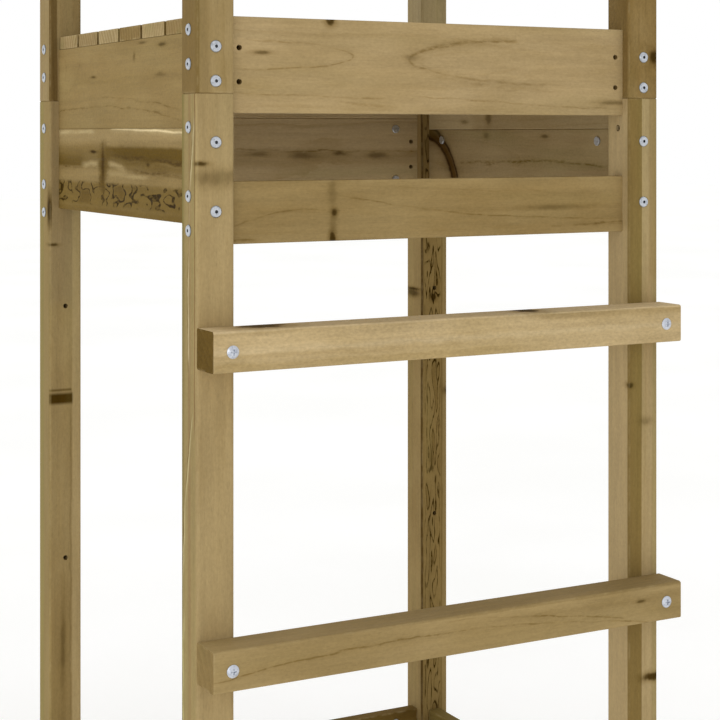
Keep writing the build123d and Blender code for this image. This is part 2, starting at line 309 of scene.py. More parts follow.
def pine(nodeName, piece):
    look = {**pineLook, **piece}
    low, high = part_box(nodeName)
    middle = (low + high) / 2
    half = (high - low) / 2
    run, width = ("XYZ".index(look[name]) for name in ("run", "width"))
    depth = 3 - run - width
    bench = Bench("pine_" + nodeName)
    dice = random.Random(look["seed"])
    shift = tuple(dice.uniform(-40, 40) for _ in range(3))
    faint, brown, pitch, sap = (paint(*look[name]) for name in ("faint", "brown", "pitch", "sap"))

    # place within the piece, as along, across and through
    where = bench.node("ShaderNodeTexCoord", output="Object")
    sides = [bench.part(where, side) - middle[side] for side in range(3)]
    along, across, through = sides[run], sides[width], sides[depth]
    flat = bench.join(along, across, through)
    facing = bench.node("ShaderNodeTexCoord", output="Normal")
    endOn = abs(bench.part(facing, run)).rise(*turns["endOn"])
    sideOn = abs(bench.part(facing, width)).rise(*turns["sideOn"])

    def noise(name, output=0):
        cells, detail, roughness = grain[name]
        return bench.cloud(flat, cells, shift, detail, roughness, output)

    # slow drift of the grain, and a quick raggedness
    drift = noise("drift", 1)
    driftAcross = bench.part(drift, 0) - 0.5
    driftThrough = bench.part(drift, 1) - 0.5
    ragged = noise("ragged") - 0.5
    sway = (noise("sway") - 0.5) * stray["sway"] * mm
    wobble = bench.vector("SUBTRACT", noise("wobble", 1), (0.5, 0.5, 0.5))

    def reachOf(mark, warp):
        # how far a point is from a mark, in its own sizes
        offset = bench.vector("SUBTRACT", flat, inMetres(mark["at"]))
        reach = bench.vector("DIVIDE", offset, inMetres(mark["size"]))
        return bench.vector("MULTIPLY_ADD", wobble, (warp, warp, warp), reach)

    def skinOf(mark):
        # marks that show on one face only
        if "skin" not in mark:
            return 1.0
        side, level = mark["skin"]
        return abs((across, through)[side] - level * mm).fall(*inMetres(skinDepth))

    def stretchOf(mark):
        share = skinOf(mark)
        snap = mark["snap"]
        if "start" in mark:
            share = along.rise((mark["start"] - snap) * mm, (mark["start"] + snap) * mm) * share
        if "stop" in mark:
            share = along.fall((mark["stop"] - snap) * mm, (mark["stop"] + snap) * mm) * share
        return share

    heartAcross, heartThrough = look["heart"]
    bend = look["bend"] * mm * 2
    fromHeart = bench.join(
        across - heartAcross * mm + driftAcross * bend,
        through - heartThrough * mm + driftThrough * bend,
        0.0,
    )
    growth = bench.vector("LENGTH", fromHeart, output=1) / (look["ring"] * mm)
    growth = growth + ragged * stray["yearRagged"]

    knots = []
    for knot in look.get("knots", []):
        knot = {**knotLook, **knot}
        distance = bench.vector("LENGTH", reachOf(knot, stray["knotWarp"]), output=1)
        if "lift" in knot:
            growth = growth + distance.fall(*turns["knotLift"]) * knot["lift"]
        knots.append((distance, knot))

    # year lines: a slow darkening, then a thin late line
    year = growth.fraction()
    patchy = noise("patchy").rise(*turns["patchy"])
    broken = thinned(noise("broken").rise(*turns["broken"]), leftOf["broken"])
    late = year.rise(*turns["lateStart"]) * year.fall(*turns["lateStop"])
    lines = late * thinned(patchy, leftOf["line"])

    # fibres, streaks, blotches and short dark pores
    fibre = noise("fibre") - 0.5
    streak = noise("streak") - 0.5
    mottle = noise("mottle") - 0.5
    blotch = noise("blotch")
    pore = noise("pore").rise(*turns["pore"])

    colour = bench.mix(blotch.rise(*turns["blotch"]), paint(*look["pale"]), paint(*look["warm"]))

    # bands that run the length of the piece
    relief = 0.0
    for band in look.get("bands", []):
        band = {**bandLook, **band}
        side = (across, through)[band["on"]] + driftAcross * band["wander"] * mm
        side = side + ragged * band["rag"] * mm
        inside = window(side, band["from"], band["to"], band["soft"], band["fade"]) * stretchOf(band)
        colour = bench.mix(inside * band["share"], colour, paint(*band["colour"]))
        relief = inside * band["lift"] + relief

    colour = bench.mix(lines * look["lineShare"], colour, faint, "MULTIPLY")

    # single strong year lines, each a shallow curve; pale ones laid along an edge are painted highlights
    for vein in look.get("veins", []):
        vein = {**veinLook, **vein}
        start, level = vein["at"]
        side = (across, through)[vein["on"]]
        gone = along - start * mm
        path = gone * gone * (vein["curve"] / mm) + gone * vein["slope"] + level * mm
        off = side - path + driftAcross * stray["veinDrift"] * mm + sway * vein["sway"]
        off = abs(off + ragged * stray["veinRagged"] * mm)
        mark = lineMark(off, vein) * window(along, vein["from"], vein["to"], vein["fade"])
        mark = mark * thinned(patchy, vein["steady"]) * skinOf(vein) * vein["share"]
        if "colour" in vein:
            colour = bench.mix(mark, colour, paint(*vein["colour"]))
        else:
            mark = mark * broken
            colour = bench.mix(mark, colour, brown, "MULTIPLY")
            lines = lines.most(mark)

    # long closed loops, as a flat-sawn face shows them
    for loop in look.get("loops", []):
        loop = {**loopLook, **loop}
        reach = reachOf(loop, 0.0)
        length = bench.vector("LENGTH", reach, output=1)
        slope = bench.vector("LENGTH", bench.vector("DIVIDE", reach, inMetres(loop["size"])), output=1)
        off = (length - 1 + driftAcross * stray["loopDrift"]) * length / slope
        off = abs(off + sway * stray["loopSway"] + ragged * stray["loopRagged"] * mm)
        mark = lineMark(off, loop) * window(along, loop["from"], loop["to"], loop["fade"])
        mark = mark * thinned(patchy * broken, loop["steady"]) * loop["share"] * skinOf(loop)
        if "colour" in loop:
            colour = bench.mix(mark, colour, paint(*loop["colour"]))
        else:
            colour = bench.mix(mark, colour, brown, "MULTIPLY")
        lines = lines.most(mark)

    # curly grain: small closed dark loops in a strip
    for curl in look.get("curls", []):
        curl = {**curlLook, **curl}
        field = bench.cloud(flat, curl["cells"], shift, curl["detail"], curl["rough"])
        ring = (field * curl["rings"]).fraction()
        ring = ring.rise(*turns["curlStart"]) * ring.fall(*turns["curlStop"])
        inside = window(across, curl["from"], curl["to"], curl["soft"])
        mark = ring * inside * thinned(patchy, leftOf["curl"]) * broken * curl["share"]
        patch = inside * field.rise(*turns["curlPatch"]) * curl["patch"]
        colour = bench.mix(patch, colour, brown, "MULTIPLY")
        colour = bench.mix(mark, colour, sap)
        lines = lines.most(mark)

    # knots, each an egg of branch wood with a soft brown reach along the grain
    knotMask = 0.0
    for distance, knot in knots:
        share = skinOf(knot) * knot["dark"]
        spread = knot["soft"] * knot["spread"]
        body = distance.fall(knot["inner"] - spread, knot["outer"] + spread) * share
        if "colour" in knot:
            colour = bench.mix(body, colour, paint(*knot["colour"]))
            continue
        halo = distance.fall(*turns["knotHalo"]) * share * knot["halo"]
        colour = bench.mix(halo, colour, brown, "MULTIPLY")
        colour = bench.mix(body * thinned(patchy, leftOf["knot"]), colour, pitch, "MULTIPLY")
        core = distance.fall(*turns["knotCore"]) * share * knot["core"]
        colour = bench.mix(core, colour, sap)
        knotMask = body + knotMask

    # end grain drinks more and shows its rings
    endYear = year.rise(*turns["endYear"]) * endMix["year"] + ragged * endMix["ragged"] + endMix["least"]
    endColour = bench.mix(endYear, paint(*look["endPale"]), paint(*look["endDark"]))
    colour = bench.mix(endOn * look["endShare"], colour, endColour)
    # painted shade on the board sides that face the gaps between deck boards
    colour = bench.mix(sideOn * look["gapShadeShare"], colour, brown, "MULTIPLY")

    # rubbed arrises, paler and rougher: the paleness is partly wear and partly a painted highlight along
    # the edges
    gaps = [half[side] - abs(sides[side]) for side in range(3)]
    nearest = gaps[0].least(gaps[1]).least(gaps[2])
    furthest = gaps[0].most(gaps[1]).most(gaps[2])
    edge = gaps[0] + gaps[1] + gaps[2] - nearest - furthest
    wornAndHighlit = edge.fall(*inMetres(arris)) * noise("rub").rise(*turns["rub"])
    colour = bench.mix(wornAndHighlit * look["wearAndHighlight"], colour, paint(*look["wornAndHighlit"]))

    # green of the wood salts, in long soft patches
    salts = noise("salts").rise(*turns["salts"])
    colour = bench.mix(salts * look["green"], colour, paint(*look["damp"]))

    by = layers["shade"]
    shade = 1 + fibre * by["fibre"] + streak * by["streak"] + mottle * look["mottle"]
    shade = shade - pore * by["pore"] + (noise("cloudy") - 0.5) * look["cloudy"]
    colour = bench.mix(1.0, colour, bench.join(shade, shade, shade), "MULTIPLY")

    by = layers["height"]
    height = fibre * by["fibre"] + streak * by["streak"] + mottle * by["mottle"]
    height = height - lines * by["lines"] - pore * by["pore"] - wornAndHighlit * by["wornAndHighlit"]
    height = height - knotMask * by["knot"] + relief
    by = layers["rough"]
    rough = by["wood"] + fibre * by["fibre"] - lines * by["lines"]
    rough = rough + wornAndHighlit * by["wornAndHighlit"] + endOn * by["endOn"]
    normal = bench.node("ShaderNodeBump", {}, {
        "Strength": woodSkin["bumpStrength"], "Distance": woodSkin["bumpDistance"], "Height": height,
    })
    return bench.finishSurface({
        "Base Color": colour,
        "Roughness": rough,
        "Normal": normal,
        "Specular IOR Level": woodSkin["specular"],
        "Specular Tint": paint(*woodSkin["specularTint"]),
    })


def dress(nodeName, piece):
    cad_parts[nodeName].material_slots[0].material = pine(nodeName, piece)


# boards across the front

frontTopBoard = {
    "run": "X", "width": "Z", "seed": 3,
    "pale": (173, 150, 109), "warm": (163, 140, 98),
    "heart": (4, 110), "ring": 6.0, "bend": 6, "lineShare": 0.16, "green": 0.08, "wearAndHighlight": 0.15,
    "loops": [
        {"at": (-190, 9.3, -8), "size": (92, 13.5, 90), "from": -215, "to": -60, "wide": 1.3,
         "share": 0.50},
        {"at": (110, 8, -8), "size": (143, 21, 90), "from": -60, "to": 120, "wide": 2.2, "share": 0.60},
        {"at": (118, 6, -8), "size": (150, 25, 90), "from": -20, "to": 150, "wide": 3.4, "share": 0.22},
        {"at": (40, 6, -8), "size": (60, 11, 90), "from": -30, "to": 110, "wide": 2.0, "share": 0.16},
    ],
    "knots": [
        {"at": (-121, 44.5, -6), "size": (5.0, 5.0, 14), "dark": 1.0},
        {"at": (-194, 12, -8), "size": (8, 1.8, 8), "dark": 0.55, "soft": 0.8},
        {"at": (-30, 10, -8), "size": (9, 3.2, 8), "dark": 0.22, "soft": 1.0},
        {"at": (216, -32, -8), "size": (22, 2.6, 8), "dark": 0.40, "soft": 1.0},
    ],
    "veins": [
        {"at": (-100, -29), "slope": -0.02, "from": -227, "to": -60, "wide": 1.3, "share": 0.42},
        {"at": (20, -30), "slope": -0.05, "from": -20, "to": 205, "wide": 1.3, "share": 0.40},
        {"at": (-80, -36), "slope": -0.08, "from": -110, "to": -50, "wide": 2.2, "share": 0.32},
    ],
}
dress("front_top_board", frontTopBoard)

frontLowerBoard = {
    "run": "X", "width": "Z", "seed": 8,
    "pale": (150, 128, 85), "warm": (139, 116, 73),
    "heart": (30, 90), "ring": 7.0, "bend": 6, "lineShare": 0.20, "green": 0.10, "wearAndHighlight": 0.15,
    "knots": [
        {"at": (-119, -26, -8), "size": (3.2, 6.0, 12), "dark": 0.95},
        {"at": (-117, -2, -8), "size": (2.8, 3.4, 9), "dark": 0.75, "soft": 0.6},
        {"at": (-119, 18, -8), "size": (5, 13, 9), "dark": 0.22, "soft": 1.0},
        {"at": (-118, -12, -8), "size": (4, 12, 9), "dark": 0.22, "soft": 1.0},
        {"at": (140, -2, -8), "size": (34, 3.0, 9), "dark": 0.26, "soft": 1.0},
    ],
    "veins": [
        {"at": (-71, 7.5), "slope": -0.155, "curve": 0.00028, "from": -110, "to": 227, "wide": 1.4,
         "share": 0.55},
        {"at": (185, -20), "slope": 0.05, "from": 140, "to": 227, "wide": 1.7, "share": 0.95},
        {"at": (186, -20), "slope": 0.04, "from": 168, "to": 196, "wide": 2.2, "share": 0.9},
        {"at": (-190, -4), "slope": 0.20, "curve": -0.0022, "from": -227, "to": -132, "wide": 1.3,
         "share": 0.5},
        {"at": (-215, -28), "slope": -0.02, "from": -227, "to": -205, "wide": 2.4, "share": 1.0},
        {"at": (-60, 22), "slope": -0.04, "from": -90, "to": 200, "wide": 1.4, "share": 0.22},
    ],
}
dress("front_lower_board", frontLowerBoard)
print("front boards dressed")


# boards across the back

backTopBoard = {
    "run": "X", "width": "Z", "seed": 12,
    "pale": (156, 135, 93), "warm": (143, 121, 78), "wearAndHighlight": 0.0,
    "heart": (-10, -90), "lineShare": 0.30,
    "knots": [
        {"at": (-66, 32, -8), "size": (7, 6, 16), "dark": 0.8, "lift": 1.3},
        {"at": (130, -12, 8), "size": (8, 6, 14), "dark": 0.9, "skin": farFace},
    ],
    "bands": [
        {"from": -50, "to": 50, "share": 0.9, "colour": (172, 151, 114), "skin": nearFace},
    ],
}
backLowerBoard = {
    "run": "X", "width": "Z", "seed": 15,
    "pale": (146, 124, 82), "warm": (134, 112, 68),
    "heart": (-6, -80), "ring": 7.5, "lineShare": 0.30, "wearAndHighlight": 0.0,
    "knots": [
        {"at": (3, 1, -8), "size": (16, 3.0, 12), "dark": 0.35, "soft": 1.0},
        {"at": (62, -1, -8), "size": (18, 4.2, 12), "dark": 0.40, "soft": 1.0},
        {"at": (114, 1.5, -8), "size": (9, 2.6, 12), "dark": 0.55, "soft": 0.8},
        {"at": (169, -1, -8), "size": (14, 4.0, 12), "dark": 0.45, "soft": 1.0},
        {"at": (-150, 14, 8), "size": (9, 7, 14), "dark": 0.9, "skin": farFace},
        {"at": (40, -22, 8), "size": (6, 5, 12), "dark": 0.8, "skin": farFace},
    ],
    "veins": [
        {"at": (60, 5.0), "slope": -0.008, "from": -140, "to": 227, "wide": 1.8, "share": 0.7},
    ],
    "bands": [
        {"from": -50, "to": 50, "share": 0.9, "colour": (172, 151, 114), "skin": nearFace},
        {"from": -14, "to": 5, "soft": 4, "share": 0.35, "colour": (128, 106, 62), "skin": nearFace},
    ],
}
dress("back_top_board", backTopBoard)
dress("back_lower_board", backLowerBoard)
print("back boards dressed")


# side boards

leftUpperBoard = {
    "run": "Y", "width": "Z", "seed": 21,
    "pale": (151, 129, 84), "warm": (143, 120, 76),
    "heart": (-26, 90), "ring": 8.0, "bend": 6, "lineShare": 0.14, "green": 0.08,
    "loops": [
        {"at": (178, 34, -8), "size": (62, 40, 60), "from": 100, "to": 190, "wide": 1.6, "share": 0.30},
        {"at": (192, 20, -8), "size": (26, 20, 60), "from": 150, "to": 192, "wide": 1.6, "share": 0.30},
    ],
    "knots": [
        {"at": (-44, 27.6, -8), "size": (3.0, 4.0, 9), "dark": 0.35, "soft": 0.9},
        {"at": (-120, 37, -8), "size": (10, 1.8, 8), "dark": 0.55, "soft": 0.6},
        {"at": (-66, 41, -8), "size": (9, 1.3, 8), "dark": 0.35, "soft": 0.6},
        {"at": (79, 10.4, -8), "size": (8, 1.4, 8), "dark": 0.5, "soft": 0.6},
        {"at": (-115, 8, -8), "size": (12, 2.0, 8), "dark": 0.25, "soft": 0.9},
    ],
    "veins": [
        {"at": (60, -21), "curve": -0.00033, "from": -176, "to": 200, "wide": 1.5, "share": 0.62},
        {"at": (-77, -18.3), "slope": 0.09, "curve": -0.0003, "from": -168, "to": 50, "wide": 1.3,
         "share": 0.50},
        {"at": (0, 6), "slope": -0.01, "from": -140, "to": 150, "wide": 3.0, "share": 0.14},
    ],
    "wearAndHighlight": 0.0,
}
leftLowerBoard = {
    "run": "Y", "width": "Z", "seed": 24,
    "pale": (142, 120, 76), "warm": (132, 109, 64), "mottle": 0.45,
    "heart": (-60, 60), "ring": 9.0, "bend": 6, "lineShare": 0.10, "green": 0.04, "wearAndHighlight": 0.0,
    "bands": [
        # the paler top strip is partly paler wood and partly painted light on the board's rounded top
        {"from": 28, "to": 50, "soft": 2, "fade": 7, "share": 0.80, "colour": (158, 136, 93), "wander": 6},
        # the two dark bands under it are partly dark figure and partly painted shade under that rounded top
        {"from": 3.4, "to": 20, "soft": 13, "fade": 1.5, "share": 0.92, "colour": (104, 82, 34),
         "wander": 6, "rag": 2, "start": 52, "lift": -0.3},
        {"from": 2, "to": 24, "soft": 2.4, "fade": 12, "share": 0.95, "colour": (98, 76, 26), "wander": 10,
         "rag": 3, "stop": 46, "lift": -0.3},
        {"from": -14, "to": -1, "soft": 3, "share": 0.6, "colour": (146, 124, 80), "wander": 6, "rag": 4},
        {"from": -38, "to": -14, "soft": 3, "share": 0.85, "colour": (116, 94, 46), "wander": 5, "rag": 4},
        {"from": -50, "to": -38, "soft": 4, "share": 0.75, "colour": (106, 84, 36), "wander": 5},
    ],
    "veins": [
        # the two pale lines along the top edge are painted highlights on the rounded edge at the joint
        {"at": (-90, 42.6), "slope": 0.020, "from": -200, "to": 22, "wide": 1.9, "share": 1.0, "sway": 0.4,
         "steady": 0.75, "colour": (222, 202, 156), "skin": nearFace},
        {"at": (140, 41.5), "from": 76, "to": 194, "wide": 3.4, "share": 0.9, "sway": 0.5,
         "colour": (182, 162, 118), "skin": nearFace},
        {"at": (12, 5), "slope": 0.13, "from": -16, "to": 36, "wide": 5.5, "share": 1.0, "steady": 0.9,
         "colour": (172, 151, 106)},
        {"at": (-20, -3.5), "slope": 0.02, "from": -80, "to": 34, "wide": 3.4, "share": 1.0, "steady": 0.6,
         "colour": (166, 145, 100)},
        {"at": (86, 6.6), "slope": -0.02, "from": 62, "to": 112, "wide": 6.0, "share": 1.0, "steady": 0.9,
         "colour": (172, 151, 106)},
        {"at": (130, 2.6), "slope": 0.013, "from": 62, "to": 194, "wide": 1.8, "share": 1.0, "sway": 0.4},
        {"at": (-20, 15), "slope": 0.03, "from": -190, "to": 36, "wide": 3.4, "share": 0.8},
        {"at": (-60, 1), "slope": 0.03, "from": -190, "to": 30, "wide": 3.0, "share": 0.7},
        {"at": (-100, 9), "slope": 0.02, "from": -190, "to": -20, "wide": 2.4, "share": 0.5,
         "colour": (132, 110, 66)},
    ],
    "curls": [
        {"from": -36, "to": -13, "cells": (30.0, 62.0, 20.0), "rings": 5.0, "share": 1.4},
    ],
    "knots": [
        {"at": (46, 12, -8), "size": (17, 18, 14), "dark": 0.90, "soft": 0.7, "colour": (104, 82, 36)},
        {"at": (49, -4, -8), "size": (12, 22, 14), "dark": 0.90, "soft": 0.6, "colour": (98, 76, 30)},
        {"at": (48, 8, -8), "size": (4.5, 20, 14), "dark": 0.85, "soft": 0.8, "colour": (68, 47, 10)},
        {"at": (78, 20.5, -8), "size": (9, 1.6, 8), "dark": 0.8, "soft": 0.5},
        {"at": (-82, 9, -8), "size": (4, 2.0, 8), "dark": 0.5, "soft": 0.6},
    ],
}
rightUpperBoard = {
    "run": "Y", "width": "Z", "seed": 27,
    "pale": (166, 146, 108), "warm": (156, 135, 96), "wearAndHighlight": 0.0,
    "heart": (20, -90), "lineShare": 0.20,
    "bands": [
        {"from": -46, "to": 46, "soft": 1, "share": 0.5, "colour": (190, 170, 132), "start": 92,
         "skin": nearFace},
    ],
    "knots": [
        {"at": (56, -32, -8), "size": (6, 8, 12), "dark": 0.45, "soft": 0.7},
        {"at": (110, -36, -8), "size": (8, 3, 12), "dark": 0.35, "soft": 0.9},
    ],
}
rightLowerBoard = {
    "run": "Y", "width": "Z", "seed": 29,
    "pale": (160, 140, 102), "warm": (150, 129, 91), "wearAndHighlight": 0.0,
    "heart": (10, -86), "lineShare": 0.16,
    "loops": [
        {"at": (216, -38, -8), "size": (82, 79, 90), "from": 110, "to": 212, "wide": 13, "share": 1.0,
         "fade": 4, "steady": 0.95, "colour": (88, 62, 22), "skin": nearFace},
        {"at": (216, -38, -8), "size": (88, 85, 90), "from": 110, "to": 212, "wide": 2.8, "share": 1.0,
         "fade": 4, "steady": 0.8, "colour": (44, 24, 4), "skin": nearFace},
        {"at": (216, -38, -8), "size": (77, 74, 90), "from": 110, "to": 212, "wide": 4.5, "share": 1.0,
         "fade": 4, "steady": 0.8, "colour": (48, 28, 6), "skin": nearFace},
    ],
    "veins": [
        {"at": (-60, 9), "curve": -0.0004, "from": -176, "to": 60, "wide": 2.4, "share": 1.0},
        {"at": (60, 6), "slope": -0.03, "from": 20, "to": 120, "wide": 2.4, "share": 0.6},
    ],
    "knots": [
        {"at": (-62, 37, -8), "size": (7, 2.2, 12), "dark": 0.5, "soft": 0.6},
        {"at": (60, 38, -8), "size": (6, 4, 12), "dark": 0.35, "soft": 0.9},
    ],
}
for nodeName, piece in {
    "left_upper_board": leftUpperBoard,
    "left_lower_board": leftLowerBoard,
    "right_upper_board": rightUpperBoard,
    "right_lower_board": rightLowerBoard,
}.items():
    dress(nodeName, piece)
print("side boards dressed")


# rungs

lowerRung = {
    "run": "X", "width": "Z", "seed": 33,
    "pale": (158, 136, 93), "warm": (149, 127, 84),
    "heart": (-40, 70), "ring": 11.0, "bend": 4, "lineShare": 0.08, "green": 0.08, "wearAndHighlight": 0.2,
    "endPale": (138, 116, 74), "endDark": (131, 109, 67), "endShare": 1.0,
    "veins": [
        {"at": (-50, 4.8), "curve": -0.000297, "from": -264, "to": 250, "wide": 1.3, "share": 0.62},
        {"at": (-18, 14.4), "slope": -0.03, "curve": -0.0004, "from": -14, "to": 190, "wide": 1.1,
         "share": 0.6},
    ],
    "knots": [{"at": (213, 4.4, -19), "size": (6, 1.6, 8), "dark": 0.5, "soft": 0.6}],
    "bands": [
        {"from": 17, "to": 22, "soft": 0.5, "share": 0.45, "colour": (128, 107, 66), "start": -60,
         "snap": 60, "rag": 3},
        {"from": 6, "to": 12, "soft": 3, "share": 0.30, "colour": (132, 110, 68), "start": 20, "snap": 60,
         "wander": 14, "rag": 12, "skin": barFront},
    ],
}
upperRung = {
    "run": "X", "width": "Z", "seed": 36,
    "pale": (188, 165, 123), "warm": (178, 155, 112),
    "heart": (-60, 56), "ring": 9.0, "bend": 5, "lineShare": 0.14, "green": 0.04, "wearAndHighlight": 0.2,
    "endPale": (102, 80, 36), "endDark": (96, 74, 31), "endShare": 1.0,
    "mottle": 0.60, "cloudy": 0.45,
    "knots": [
        {"at": (-206, 19, 6), "size": (25, 5, 15), "dark": 1.0, "soft": 0.2},
        {"at": (88, 19, 6), "size": (13, 4, 15), "dark": 1.0, "soft": 0.1},
    ],
    "bands": [
        {"from": 11, "to": 30, "soft": 3, "share": 0.40, "colour": (140, 117, 72), "start": 90, "rag": 4,
         "skin": barFront},
        {"from": 17, "to": 22, "soft": 0.5, "share": 0.60, "colour": (206, 184, 144)},
        {"from": -22, "to": -11, "soft": 4, "share": 0.45, "colour": (158, 134, 86), "stop": 60, "snap": 60,
         "rag": 14, "skin": barFront},
        {"from": -3, "to": 2, "soft": 3, "share": 0.40, "colour": (196, 176, 138), "wander": 12, "rag": 10,
         "skin": barFront},
        {"from": -9, "to": -4, "soft": 3, "share": 0.35, "colour": (150, 126, 80), "wander": 16, "rag": 12,
         "stop": 0, "skin": barFront},
    ],
}
dress("lower_rung", lowerRung)
dress("upper_rung", upperRung)
print("rungs dressed")


# posts

